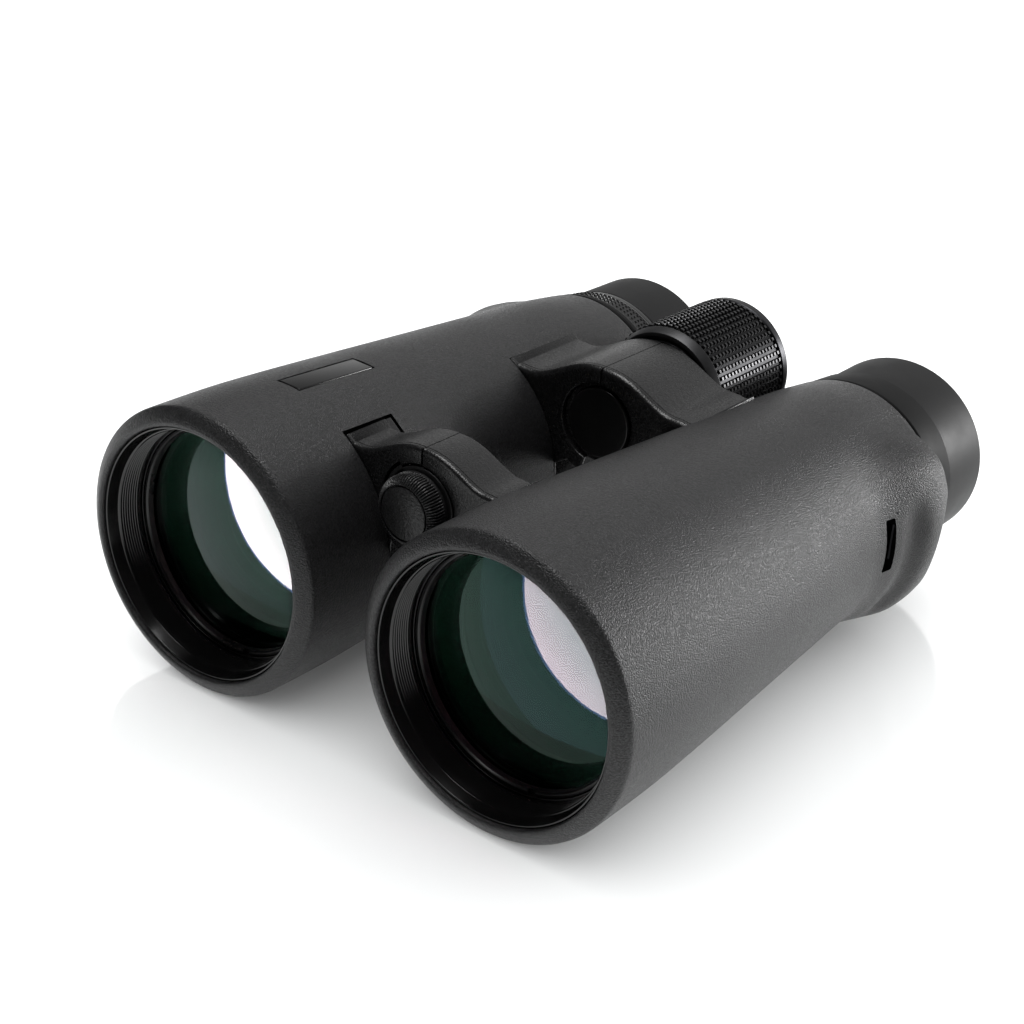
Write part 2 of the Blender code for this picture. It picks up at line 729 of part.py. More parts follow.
def make_base_rings():
    name = "base_ring_right"
    on_barrel(name, RIGHT, [(16.6, RING_START), (20.4, RING_START), (20.6, RING_START + 0.4),
                            (19.8, RING_END), (16.6, RING_END)], satin_plastic(name), 36)
    name = "base_ring_left"
    on_barrel(name, LEFT, [(16.6, RING_START), (20.4, RING_START), (20.6, RING_START + 0.4),
                           (20.4, 116.4), (17.4, 116.4), (17.4, RING_END - 0.6),
                           (16.6, RING_END - 0.6)], satin_plastic(name), 36)
    name = "diopter_ring"
    on_barrel(name, LEFT, [(17.7, 116.7), (20.1, 116.7), (20.3, 117.2), (19.8, 121.6), (19.2, 122.0),
                           (17.7, 122.0)], satin_plastic(name), 36, base=119.4)


def make_half(side, label):
    make_armour(side, label)
    make_strap_pin(side, label)
    make_housing(side, label)
    make_objective(side, label)
    make_inner_optics(side, label)
    make_eyepiece(side, label)


def make_arms():
    front_left = (FRONT_BRIDGE[0], FRONT_SPLIT - GAP / 2, 5.3)
    front_right = (FRONT_SPLIT + GAP / 2, FRONT_BRIDGE[1], 6.5)
    rear_left = (REAR_FACE, REAR_SPLIT - GAP / 2, 5.8)
    rear_right = (REAR_SPLIT + GAP / 2, REAR_BRIDGE[1], 6.9)
    make_arm(LEFT, "left", "front", front_left)
    make_arm(RIGHT, "right", "front", front_right)
    make_arm(LEFT, "left", "rear", rear_left)
    make_arm(RIGHT, "right", "rear", rear_right)


def hang_right_half():
    """The right half turns about the hinge, so it hangs from a point on it."""
    pivot = bpy.data.objects.new("hinge_pivot", None)
    pivot.location = (0.0, 0.0, HUB_Z * MM)
    PARTS.objects.link(pivot)
    bpy.context.view_layer.update()
    riders = [o for o in PARTS.objects if o.name.endswith("_right") or o.name in
              ("front_bush", "rear_bush")]
    for rider in riders:
        rider.parent = pivot
        rider.matrix_parent_inverse = pivot.matrix_world.inverted()


def build():
    for side, label in SIDES:
        make_half(side, label)
    make_base_rings()
    make_arms()
    make_hinge()
    make_tripod_cap()
    make_focus_drive()
    make_name_plate()
    hang_right_half()


build()
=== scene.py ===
"""Looks of the binoculars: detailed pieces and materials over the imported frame."""
import math

import bmesh
import bpy
import numpy as np
from mathutils import Matrix, Vector
from mathutils.geometry import tessellate_polygon


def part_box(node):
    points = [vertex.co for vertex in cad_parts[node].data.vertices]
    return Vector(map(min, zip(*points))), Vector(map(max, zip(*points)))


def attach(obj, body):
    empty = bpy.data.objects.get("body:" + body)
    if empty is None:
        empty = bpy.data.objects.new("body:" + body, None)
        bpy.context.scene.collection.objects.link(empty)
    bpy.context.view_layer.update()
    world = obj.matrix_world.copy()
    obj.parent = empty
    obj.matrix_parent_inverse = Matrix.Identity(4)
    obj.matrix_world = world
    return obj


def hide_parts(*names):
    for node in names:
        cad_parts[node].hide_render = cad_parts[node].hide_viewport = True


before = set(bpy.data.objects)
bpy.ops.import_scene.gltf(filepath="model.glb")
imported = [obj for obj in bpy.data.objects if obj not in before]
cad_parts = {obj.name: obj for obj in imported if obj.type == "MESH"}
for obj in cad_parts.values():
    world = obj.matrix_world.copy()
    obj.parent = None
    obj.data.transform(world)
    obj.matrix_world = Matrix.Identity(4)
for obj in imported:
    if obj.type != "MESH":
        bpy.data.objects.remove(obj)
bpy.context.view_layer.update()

MM = 0.001
NOISE_ROUGHNESS = 0.55
CROWN_GLASS_IOR = 1.52
SIDES = (("left", -1.0), ("right", 1.0))


# ------------------------------------------------------------ places on the frame
def centre(node):
    low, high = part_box(node)
    return (low + high) / 2.0


RIM_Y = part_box("armour_left")[0].y / MM
END_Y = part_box("eyecup_left")[1].y / MM
AXIS_X = centre("bezel_right").x / MM
AXIS_Z = centre("bezel_right").z / MM
HUB_Z = centre("tripod_cap").z / MM


def y_at(station):
    return RIM_Y + station


# ------------------------------------------------------------------- node helpers
class Nodes:
    """Short hand for wiring one material's node tree."""

    def __init__(self, name, roughness=0.5, metallic=0.0):
        self.material = bpy.data.materials.new(name)
        self.material.use_nodes = True
        self.tree = self.material.node_tree
        self.shader = self.tree.nodes["Principled BSDF"]
        self.shader.inputs["Roughness"].default_value = roughness
        self.shader.inputs["Metallic"].default_value = metallic
        self.coords = self.tree.nodes.new("ShaderNodeTexCoord")

    def node(self, kind, **settings):
        made = self.tree.nodes.new(kind)
        for key, value in settings.items():
            setattr(made, key, value)
        return made

    def link(self, a, b):
        self.tree.links.new(a, b)

    def noise(self, size_mm, detail):
        made = self.node("ShaderNodeTexNoise")
        made.inputs["Scale"].default_value = 1000.0 / size_mm
        made.inputs["Detail"].default_value = detail
        made.inputs["Roughness"].default_value = NOISE_ROUGHNESS
        self.link(self.coords.outputs["Object"], made.inputs["Vector"])
        return made.outputs["Fac"]

    def cells(self, size_mm, smoothness):
        made = self.node("ShaderNodeTexVoronoi", feature="SMOOTH_F1")
        made.inputs["Scale"].default_value = 1000.0 / size_mm
        made.inputs["Smoothness"].default_value = smoothness
        self.link(self.coords.outputs["Object"], made.inputs["Vector"])
        return made.outputs["Distance"]

    def span(self, value, low, high, to_low, to_high):
        made = self.node("ShaderNodeMapRange")
        made.inputs["From Min"].default_value = low
        made.inputs["From Max"].default_value = high
        made.inputs["To Min"].default_value = to_low
        made.inputs["To Max"].default_value = to_high
        self.link(value, made.inputs["Value"])
        return made.outputs["Result"]

    def maths(self, operation, a, b):
        made = self.node("ShaderNodeMath", operation=operation)
        for socket, value in zip(made.inputs, (a, b)):
            if isinstance(value, float):
                socket.default_value = value
            else:
                self.link(value, socket)
        return made.outputs["Value"]

    def blend(self, factor, first, second):
        made = self.node("ShaderNodeMix", data_type="RGBA")
        made.inputs["A"].default_value = (*first, 1.0)
        made.inputs["B"].default_value = (*second, 1.0)
        self.link(factor, made.inputs["Factor"])
        return made.outputs["Result"]

    def bump(self, height, depth_mm):
        made = self.node("ShaderNodeBump")
        made.inputs["Strength"].default_value = 1.0
        made.inputs["Distance"].default_value = depth_mm * MM
        self.link(height, made.inputs["Height"])
        return made.outputs["Normal"]

    def colour(self, value):
        self.link(value, self.shader.inputs["Base Color"])

    def rough(self, value):
        self.link(value, self.shader.inputs["Roughness"])

    def normal(self, value):
        self.link(value, self.shader.inputs["Normal"])


# ---------------------------------------------------------------------- materials
def grained_rubber(name, grain_mm, depth_mm, roughness, base=0.013, level=0.5):
    """Moulded armour: fine irregular pebbles, handling marks, soft shine."""
    n = Nodes(name, roughness)
    n.shader.inputs["Specular IOR Level"].default_value = level
    pebbles = n.cells(grain_mm, 0.45)
    fine = n.noise(grain_mm * 0.6, 2.0)
    relief = n.maths("ADD", n.maths("MULTIPLY", pebbles, -1.0), n.maths("MULTIPLY", fine, 0.6))
    n.normal(n.bump(relief, depth_mm))
    patches = n.noise(26.0, 3.0)
    specks = n.noise(grain_mm * 1.3, 2.0)
    tone = n.maths("ADD", n.span(patches, 0.3, 0.7, 0.0, 0.15),
                   n.span(specks, 0.36, 0.66, 0.0, 0.85))
    low = (base * 0.2, base * 0.2, base * 0.22)
    high = (base * 3.0, base * 2.97, base * 3.1)
    n.colour(n.blend(tone, low, high))
    wear = n.maths("ADD", n.span(patches, 0.3, 0.7, 0.0, 0.4), n.span(specks, 0.35, 0.65, 0.6, 0.0))
    n.rough(n.span(wear, 0.0, 1.0, roughness - 0.10, roughness + 0.12))
    return n.material


def satin_black(name, roughness, base=0.011, grain=0.16, depth=0.012, level=0.5):
    """Fine-etched moulded plastic with faint flow and rub marks."""
    n = Nodes(name, roughness)
    n.shader.inputs["Specular IOR Level"].default_value = level
    etch = n.noise(grain, 2.0)
    n.normal(n.bump(etch, depth))
    rub = n.noise(9.0, 4.0)
    n.colour(n.blend(rub, (base * 0.8,) * 3, (base * 1.25, base * 1.25, base * 1.3)))
    n.rough(n.span(rub, 0.25, 0.75, roughness - 0.05, roughness + 0.06))
    return n.material


def turned_metal(name, tint, roughness, metallic=1.0, pitch_mm=0.12, depth=0.006):
    """Lathe-turned metal: fine rings along the axis and slight staining."""
    n = Nodes(name, roughness, metallic)
    rings = n.node("ShaderNodeTexWave", wave_type="BANDS", bands_direction="Y")
    rings.inputs["Scale"].default_value = 1000.0 / pitch_mm / 20.0
    rings.inputs["Distortion"].default_value = 0.6
    n.link(n.coords.outputs["Object"], rings.inputs["Vector"])
    n.normal(n.bump(rings.outputs["Fac"], depth))
    stain = n.noise(6.0, 4.0)
    n.colour(n.blend(stain, tuple(c * 0.82 for c in tint), tuple(min(1.0, c * 1.1) for c in tint)))
    n.rough(n.span(stain, 0.3, 0.7, roughness - 0.06, roughness + 0.08))
    return n.material


def knurled_metal(name, valley_mm, crest_mm, groove_shade_colour, pad_highlight_colour, roughness):
    """Anodised grip: painted highlight on the pad tops and painted shade in the grooves."""
    n = Nodes(name, roughness, 0.85)
    split = n.node("ShaderNodeSeparateXYZ")
    n.link(n.coords.outputs["Object"], split.inputs["Vector"])
    up = n.maths("SUBTRACT", split.outputs["Z"], HUB_Z * MM)
    square = n.maths("ADD", n.maths("POWER", split.outputs["X"], 2.0), n.maths("POWER", up, 2.0))
    radius = n.maths("POWER", square, 0.5)
    # painted highlight and painted shade: the colour runs from dark in the grooves to light on the
    # pad tops, by radius
    crest = n.span(radius, valley_mm * MM, crest_mm * MM, 0.0, 1.0)
    stain = n.noise(5.0, 4.0)
    n.colour(n.blend(n.maths("MULTIPLY", crest, n.span(stain, 0.3, 0.7, 0.75, 1.0)), groove_shade_colour, pad_highlight_colour))
    n.rough(n.span(stain, 0.3, 0.7, roughness - 0.05, roughness + 0.07))
    n.normal(n.bump(n.noise(0.12, 2.0), 0.004))
    return n.material


def coated_glass(name, body, tint, level=0.5, transmission=1.0):
    """Polished lens with an anti-reflection coating that reflects one colour."""
    n = Nodes(name, 0.0)
    shader = n.shader
    shader.inputs["IOR"].default_value = CROWN_GLASS_IOR
    shader.inputs["Transmission Weight"].default_value = transmission
    shader.inputs["Specular IOR Level"].default_value = level
    shader.inputs["Specular Tint"].default_value = (*tint, 1.0)
    film = n.noise(7.0, 2.0)
    n.colour(n.blend(film, tuple(c * 0.94 for c in body), body))
    return n.material


RUBBER = grained_rubber("armour_rubber", 0.26, 0.10, 0.34, 0.0095, 0.42)
ARM_RUBBER = grained_rubber("bridge_rubber", 0.29, 0.035, 0.29, 0.006, 0.46)
CAP_RUBBER = grained_rubber("cap_plastic", 0.40, 0.08, 0.36, 0.007)
# painted shade: near-black, almost unreflective rubber for the walls of the strap slot, the tunnel
# and the grooves round the arms
SHADE_PAINTED_RUBBER = satin_black("shadowed_rubber", 0.7, 0.0006, 0.1, 0.004, 0.04)
CUFF = satin_black("base_ring_plastic", 0.5, 0.006, 0.14, 0.005, 0.08)
SATIN = satin_black("satin_plastic", 0.36, 0.014)
CUP = satin_black("eyecup_rubber", 0.48, 0.012, 0.14, 0.008, 0.20)
COLLAR = satin_black("collar_plastic", 0.24, 0.006, 0.2, 0.003)
GLOSS = satin_black("gloss_plastic", 0.16, 0.004, 0.3, 0.001)
BORE = satin_black("bore_black", 0.30, 0.0015, 0.2, 0.004)
ANODISED = turned_metal("black_anodised", (0.035, 0.035, 0.038), 0.34)
WHEEL_METAL = turned_metal("anodised_band", (0.055, 0.055, 0.057), 0.40, 0.85, 0.3, 0.003)
# the two colours below are painted shade for the grooves and painted highlight for the pad tops
WHEEL_GRIP = knurled_metal("anodised_grip", 13.25, 13.72, (0.004, 0.004, 0.005),
                           (0.06, 0.06, 0.062), 0.32)
STEEL = turned_metal("ground_steel", (0.60, 0.60, 0.62), 0.28)
BRASS = turned_metal("turned_brass", (0.75, 0.56, 0.27), 0.27)
FRONT_GLASS = coated_glass("objective_glass", (0.16, 0.30, 0.24), (0.06, 0.20, 0.14), 0.5)
BACK_GLASS = coated_glass("rear_glass", (0.12, 0.26, 0.20), (0.04, 0.18, 0.10), 0.22)
INNER_GLASS = coated_glass("inner_glass", (0.4, 0.5, 0.46), (0.05, 0.14, 0.10), 0.25)
EYE_GLASS = coated_glass("eye_glass", (0.30, 0.36, 0.40), (0.20, 0.20, 0.42))
PRISM_GLASS = coated_glass("prism_glass", (0.6, 0.66, 0.66), (0.2, 0.3, 0.3), 0.5, 0.95)


# ------------------------------------------------------------------- mesh helpers
def link_object(name, mesh, material, body):
    obj = bpy.data.objects.new(name, mesh)
    bpy.context.scene.collection.objects.link(obj)
    mesh.materials.append(material)
    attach(obj, body)
    return obj


def shade(obj, angle=40.0):
    obj.data.polygons.foreach_set("use_smooth", [True] * len(obj.data.polygons))
    obj.data.set_sharp_from_angle(angle=math.radians(angle))
    return obj


def fillet(points, radius, steps=4, closed=True):
    """Round every corner of a profile; a third number on a point overrides the radius."""
    made = []
    count = len(points)
    for i, point in enumerate(points):
        here = Vector(point[:2])
        r = point[2] if len(point) > 2 else radius
        if not closed and i in (0, count - 1):
            made.append(tuple(here))
            continue
        before = Vector(points[i - 1][:2]) - here
        after = Vector(points[(i + 1) % count][:2]) - here
        reach = min(before.length, after.length) * 0.48
        angle = before.angle(after, math.pi)
        cut = min(reach, r / max(1e-6, math.tan(angle / 2.0)))
        if r <= 0.0 or angle > math.radians(178.0):
            made.append(tuple(here))
            continue
        start = here + before.normalized() * cut
        end = here + after.normalized() * cut
        for k in range(steps + 1):
            u = k / steps
            q = start * (1 - u) ** 2 + here * 2 * u * (1 - u) + end * u ** 2
            made.append((q.x, q.y))
    return made


def loft(name, rows, closed_rows, closed_loop, caps=False):
    """Mesh from a (rows, count, 3) grid of millimetre points."""
    rows = np.asarray(rows, float) * MM
    total, count, _ = rows.shape
    verts = rows.reshape(-1, 3)
    faces = []
    for i in range(total if closed_loop else total - 1):
        a = i * count
        b = ((i + 1) % total) * count
        for j in range(count if closed_rows else count - 1):
            k = (j + 1) % count
            faces.append((a + j, a + k, b + k, b + j))
    if caps:
        for base in (0, (total - 1) * count):
            ring = [Vector(v) for v in verts[base:base + count]]
            faces += [tuple(base + k for k in t) for t in tessellate_polygon([ring])]
    mesh = bpy.data.meshes.new(name)
    mesh.from_pydata(verts.tolist(), [], faces)
    tidy = bmesh.new()
    tidy.from_mesh(mesh)
    bmesh.ops.remove_doubles(tidy, verts=tidy.verts, dist=1e-7)
    bmesh.ops.recalc_face_normals(tidy, faces=tidy.faces)
    tidy.to_mesh(mesh)
    tidy.free()
    return mesh


def turned_mesh(name, profile, cx, cz, count=160, closed=True):
    """Spin (radius, station) points about a line parallel to Y."""
    angles = np.linspace(0.0, 2.0 * math.pi, count, endpoint=False)
    rows = []
    for r, s in profile:
        r = max(r, 0.0)
        rows.append(np.stack([cx + r * np.cos(angles), np.full(count, y_at(s)),
                              cz + r * np.sin(angles)], axis=1))
    return loft(name, rows, True, closed)


def turned(name, profile, cx, cz, material, body, radius=0.25, count=160, closed=True,
           steps=4, angle=40.0):
    mesh = turned_mesh(name, fillet(profile, radius, steps, closed), cx, cz, count, closed)
    return shade(link_object(name, mesh, material, body), angle)


def arc(cx, cz, radius, start, end, steps):
    a = np.radians(np.linspace(start, end, steps + 1))
    return [(cx + radius * math.cos(t), cz + radius * math.sin(t)) for t in a]


def smoothstep(value):
    value = min(1.0, max(0.0, value))
    return value * value * (3.0 - 2.0 * value)


def prism_mesh(name, outline, start, end):
    """Extrude an (x, z) outline along Y between two stations."""
    shell = bmesh.new()
    front = [shell.verts.new((x * MM, y_at(start) * MM, z * MM)) for x, z in outline]
    back = [shell.verts.new((x * MM, y_at(end) * MM, z * MM)) for x, z in outline]
    shell.faces.new(front)
    shell.faces.new(back[::-1])
    for i in range(len(outline)):
        j = (i + 1) % len(outline)
        shell.faces.new((front[j], front[i], back[i], back[j]))
    bmesh.ops.recalc_face_normals(shell, faces=shell.faces)
    mesh = bpy.data.meshes.new(name)
    shell.to_mesh(mesh)
    shell.free()
    return mesh


def bake(obj):
    """Replace an object's mesh by its evaluated one."""
    graph = bpy.context.evaluated_depsgraph_get()
    graph.update()
    made = bpy.data.meshes.new_from_object(obj.evaluated_get(graph))
    obj.modifiers.clear()
    old = obj.data
    obj.data = made
    bpy.data.meshes.remove(old)
    return obj


def bevel(obj, width_mm, segments=4, angle=40.0):
    rounding = obj.modifiers.new("edge", "BEVEL")
    rounding.width = width_mm * MM
    rounding.segments = segments
    rounding.limit_method = "ANGLE"
    rounding.angle_limit = math.radians(angle)
    rounding.harden_normals = False
    return obj


def carve(obj, cutters):
    """Boolean difference with loose meshes, which are removed afterwards."""
    made = []
    for i, mesh in enumerate(cutters):
        tool = bpy.data.objects.new(obj.name + "_tool" + str(i), mesh)
        bpy.context.scene.collection.objects.link(tool)
        step = obj.modifiers.new("carve", "BOOLEAN")
        step.operation = "DIFFERENCE"
        step.solver = "EXACT"
        step.material_mode = "TRANSFER" if mesh.materials else "INDEX"
        step.object = tool
        made.append(tool)
    bpy.context.view_layer.update()
    bake(obj)
    for tool in made:
        mesh = tool.data
        bpy.data.objects.remove(tool)
        bpy.data.meshes.remove(mesh)
    return obj


def box_mesh(name, centre_mm, size_mm, turn=None):
    mesh = bpy.data.meshes.new(name)
    cube = bmesh.new()
    bmesh.ops.create_cube(cube, size=1.0)
    matrix = Matrix.Translation(Vector(centre_mm) * MM)
    if turn:
        matrix = matrix @ turn
    matrix = matrix @ Matrix.Diagonal((size_mm[0] * MM, size_mm[1] * MM, size_mm[2] * MM, 1.0))
    bmesh.ops.transform(cube, matrix=matrix, verts=cube.verts)
    cube.to_mesh(mesh)
    cube.free()
    return mesh


# ---------------------------------------------------------------------- the skins
BARREL = ((0.0, 27.0), (8.0, 27.04), (16.0, 26.98), (28.0, 26.5), (44.0, 25.6), (64.0, 24.4),
          (84.0, 23.2), (104.0, 22.0), (114.3, 20.8))


def barrel_radius(station):
    """Smooth curve through the barrel's radii."""
    s = np.array([p[0] for p in BARREL])
    r = np.array([p[1] for p in BARREL])
    slopes = np.gradient(r, s)
    i = int(np.clip(np.searchsorted(s, station) - 1, 0, len(s) - 2))
    h = s[i + 1] - s[i]
    u = (station - s[i]) / h
    a = (2 * u ** 3 - 3 * u ** 2 + 1) * r[i] + (u ** 3 - 2 * u ** 2 + u) * h * slopes[i]
    b = (-2 * u ** 3 + 3 * u ** 2) * r[i + 1] + (u ** 3 - u ** 2) * h * slopes[i + 1]
    return min(27.04, a + b)


SHOULDER = {"rise": 4.9, "start": 86.0, "crest": 107.0, "angle": -9.0, "flat": 34.0, "fade": 70.0,
            "tail": 109.0, "end": 114.3}
FACET = {"radius": 25.9, "station": 106.6, "slope": 0.74}
HOLLOW = {"depth": 1.3, "station": 98.4, "spread": 2.5, "angle": -14.0, "reach": 38.0}


def turned_from(angle, centre_angle):
    return abs((angle - centre_angle + 180.0) % 360.0 - 180.0)


def soft_min(a, b, blend):
    """The lesser of two radii with the corner between them eased."""
    share = min(1.0, max(0.0, 0.5 + 0.5 * (b - a) / blend))
    return b + (a - b) * share - blend * share * (1.0 - share)


def hollow(station, angle):
    """Shallow dip of the shoulder between the strap slot and the crest."""
    h = HOLLOW
    around = 1.0 - smoothstep((turned_from(angle, h["angle"]) - 0.5 * h["reach"])
                              / (0.5 * h["reach"]))
    return h["depth"] * around * math.exp(-((station - h["station"]) / h["spread"]) ** 2)


def shoulder(station, angle):
    """Extra radius of the strap shoulder: a swelling sliced off by a flat facet."""
    s = SHOULDER
    along = smoothstep((station - s["start"]) / (s["crest"] - s["start"]))
    tail = 1.0 - smoothstep((station - s["tail"]) / (s["end"] - s["tail"]))
    off = turned_from(angle, s["angle"])
    around = 1.0 - smoothstep((off - s["flat"]) / (s["fade"] - s["flat"]))
    base = barrel_radius(station)
    swollen = base + s["rise"] * along * around * tail - hollow(station, angle)
    if off > 75.0 or station < 98.0:
        return swollen - base
    facet = FACET["radius"] - FACET["slope"] * (station - FACET["station"])
    return max(-0.2, soft_min(swollen, facet / math.cos(math.radians(min(off, 50.0))), 0.2) - base)


LIP = ((0.5, 3.4), (0.25, 3.32), (0.08, 3.15), (0.0, 2.85), (0.05, 2.4), (0.55, 1.5), (1.2, 0.62),
       (1.5, 0.3), (1.75, 0.12), (2.05, 0.03), (2.4, 0.0))


def skin_stations():
    """(station, inset, swells) down the outside of the skin."""
    made = [(station, inset, False) for station, inset in LIP]
    made += [(s, 0.0, False) for s in np.linspace(3.0, 80.0, 40)]
    made += [(s, 0.0, True) for s in np.linspace(82.0, 98.0, 20)]
    made += [(s, 0.0, True) for s in np.linspace(98.5, 113.3, 46)]
    made += [(113.8, 0.05, True), (114.15, 0.25, True), (114.3, 0.6, True)]
    return made


def skin_mesh(name, side, count=300):
    angles = np.arange(count) * 360.0 / count
    rows = []
    for station, inset, swells in skin_stations():
        base = barrel_radius(max(0.0, station)) - inset
        r = np.array([base + (shoulder(station, a) if swells else 0.0) for a in angles])
        t = np.radians(angles)
        rows.append(np.stack([side * AXIS_X + side * r * np.cos(t),
                              np.full(count, y_at(station)), AXIS_Z + r * np.sin(t)], axis=1))
    for station, radius in ((114.3, 18.9), (100.0, 20.4), (60.0, 22.9), (3.2, 25.1), (2.9, 23.75),
                            (0.8, 23.6)):
        t = np.radians(angles)
        rows.append(np.stack([side * (AXIS_X + radius * np.cos(t)),
                              np.full(count, y_at(station)), AXIS_Z + radius * np.sin(t)], axis=1))
    return loft(name, rows, True, True)


FRONT = {"bridge": (21.4, 31.6), "crown": (10.8, 6.7, 13.8), "disc": 7.3, "pad": (-10.0, 54.5),
         "proud": 0.4, "fillet": 0.8, "groove": 1.9, "tab": 33.2}
REAR = {"bridge": (73.2, 93.9), "crown": (11.35, 6.1, 16.6), "disc": 7.9, "pad": (-4.0, 62.0),
        "proud": 0.7, "fillet": 1.15, "groove": 0.35, "tab": 93.9}
SECTOR_FOOT = 254.0
SLOT_STATION = 91.1
SLOT_HEIGHT = AXIS_Z + 1.6
SLOT_SIZE = (5.4, 2.7, 10.6)
SLOT_REACH = 24.0
TUNNEL_STATION = 104.0
TUNNEL_SIZE = (1.6, 25.0, 7.6)
TUNNEL_REACH = 22.2
PLATE_STATION = 31.8
PLATE_ANGLE = 87.6
PLATE_POCKET = (5.7, 20.1, 1.9)
PLATE_SIZE = (5.0, 19.4, 0.9)
PLATE_SINK = 0.55


def flip(points, side):
    return [(x if side < 0 else -x, z) for x, z in points]


def pad_groove(name, side, spec):
    """Thin slot in the skin round the root of a bridge arm."""
    middle = barrel_radius(sum(spec["bridge"]) / 2.0)
    spare = spec["groove"]
    low, high = spec["pad"]
    outline = arc(-AXIS_X, AXIS_Z, middle + 4.0, low - spare, high + spare, 30)
    outline += arc(-AXIS_X, AXIS_Z, middle - 1.1, high + spare, low - spare, 30)
    gap = math.radians(spare) * middle * 1.3
    mesh = prism_mesh(name, flip(outline, side), spec["bridge"][0] - 0.25, spec["tab"] + gap)
    # the groove's cut walls get the painted-shade rubber
    mesh.materials.append(SHADE_PAINTED_RUBBER)
    return mesh


def rounded_box(name, place, size, radius):
    mesh = box_mesh(name, place, size)
    rounding = bmesh.new()
    rounding.from_mesh(mesh)
    bmesh.ops.bevel(rounding, geom=list(rounding.edges), offset=radius * MM, segments=3,
                    affect="EDGES", profile=0.5)
    rounding.to_mesh(mesh)
    rounding.free()
    return mesh


def slot_tools(side):
    """Strap slot in the shoulder and the tunnel that leads the strap on to the rear."""
    x = side * (AXIS_X + SLOT_REACH)
    main = rounded_box("slot", (x, y_at(SLOT_STATION), SLOT_HEIGHT), SLOT_SIZE, 0.45)
    x = side * (AXIS_X + TUNNEL_REACH)
    tunnel = box_mesh("tunnel", (x, y_at(TUNNEL_STATION), SLOT_HEIGHT), TUNNEL_SIZE)
    # the cut walls of the slot and tunnel get the painted-shade rubber
    for mesh in (main, tunnel):
        mesh.materials.append(SHADE_PAINTED_RUBBER)
    return [main, tunnel]


def plate_turn():
    """Tilt of the plate: square to the skin and along its taper."""
    slope = math.atan((barrel_radius(42.0) - barrel_radius(22.0)) / 20.0)
    a = math.radians(90.0 - PLATE_ANGLE)
    return Matrix.Rotation(a, 4, "Y") @ Matrix.Rotation(slope, 4, "X")


def plate_centre(sink):
    radius = barrel_radius(PLATE_STATION) - sink
    a = math.radians(PLATE_ANGLE)
    return (-AXIS_X + radius * math.cos(a), y_at(PLATE_STATION), AXIS_Z + radius * math.sin(a))


def relief_mesh():
    """Clearance in both skins for the focus wheel."""
    profile = [(0.0, 92.9), (13.3, 92.9), (14.3, 94.9), (14.3, 115.5), (0.0, 115.5)]
    return turned_mesh("relief", fillet(profile, 1.0, 5, False), 0.0, HUB_Z, 120, True)


def make_skins():
    """Rubber armour of both barrels, with its slots, grooves and the plate's pocket."""
    for label, side in SIDES:
        name = "skin_" + label
        obj = link_object(name, skin_mesh(name, side), RUBBER, label + "_half")
        tools = slot_tools(side) + [relief_mesh(), pad_groove("pad_f", side, FRONT),
                                    pad_groove("pad_r", side, REAR)]
        if side < 0:
            tools.append(box_mesh("pocket", plate_centre(0.0), PLATE_POCKET, plate_turn()))
        carve(obj, tools)
        shade(obj, 32.0)
        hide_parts("armour_" + label)


# ---------------------------------------------------------------------- bridges
def crown_line(crown, root, steps):
    """Top of an arm, from the hinge over the saddle and up to its root."""
    top, low, span = crown
    made = []
    for i in range(1, steps):
        x = span * i / steps
        made.append((-x, HUB_Z + top - (top - low) * smoothstep((x / span) ** 1.3)))
    for i in range(12):
        u = i / 12
        made.append((-span + (root[0] + span) * u,
                     HUB_Z + low + (root[1] - HUB_Z - low) * u * u))
    return made


def arm_outline(spec, proud):
    """Outline of a left-hand arm with the edge rounding wanted at every point."""
    skin = barrel_radius(sum(spec["bridge"]) / 2.0)
    hub = spec["crown"][0]
    seam = math.degrees(0.10 / hub)
    low, high = spec["pad"]
    root = arc(-AXIS_X, AXIS_Z, skin + proud, high - 4.0, high, 6)
    crown = arc(0.0, HUB_Z, hub, 90.0 + seam, 90.0 + 2.0 * seam, 1)[:1]
    crown += crown_line(spec["crown"], root[0], 60)
    under = arc(-AXIS_X, AXIS_Z, skin - 1.6, high, low, 24)
    belly = arc(-AXIS_X, AXIS_Z, skin + 0.3, low, 6.0, 10)
    foot = arc(0.0, HUB_Z, hub, 237.0, SECTOR_FOOT, 10)
    inner = arc(0.0, HUB_Z, spec["disc"] + 0.3, SECTOR_FOOT, 90.0 + 1.5 * seam, 48)
    runs = ((crown, spec["fillet"]), (root, 0.35), (under, 0.1), (belly, 0.5), (foot, 0.3),
            (inner, 0.25))
    points = []
    for run, rounding in runs:
        points += [(x, z, rounding) for x, z in run]
    return points


def inward(points):
    """Shift of every outline point that insets the edges beside it by their rounding."""
    xy = np.array([(x, z) for x, z, _ in points])
    width = np.array([w for _, _, w in points])
    along = np.roll(xy, -1, axis=0) - xy
    along /= np.linalg.norm(along, axis=1, keepdims=True)
    turning = np.sum(xy[:, 0] * np.roll(xy[:, 1], -1) - xy[:, 1] * np.roll(xy[:, 0], -1))
    normal = np.stack([-along[:, 1], along[:, 0]], axis=1) * np.sign(turning)
    before = np.roll(normal, 1, axis=0)
    width_before = np.roll(width, 1)
    shift = (normal * width[:, None] + before * width_before[:, None]) / 2.0
    cross = before[:, 0] * normal[:, 1] - before[:, 1] * normal[:, 0]
    for i in np.nonzero(np.abs(cross) > 0.35)[0]:
        pair = np.array([before[i], normal[i]])
        shift[i] = np.linalg.solve(pair, (width_before[i], width[i]))
    return xy, shift, (width + width_before) / 2.0


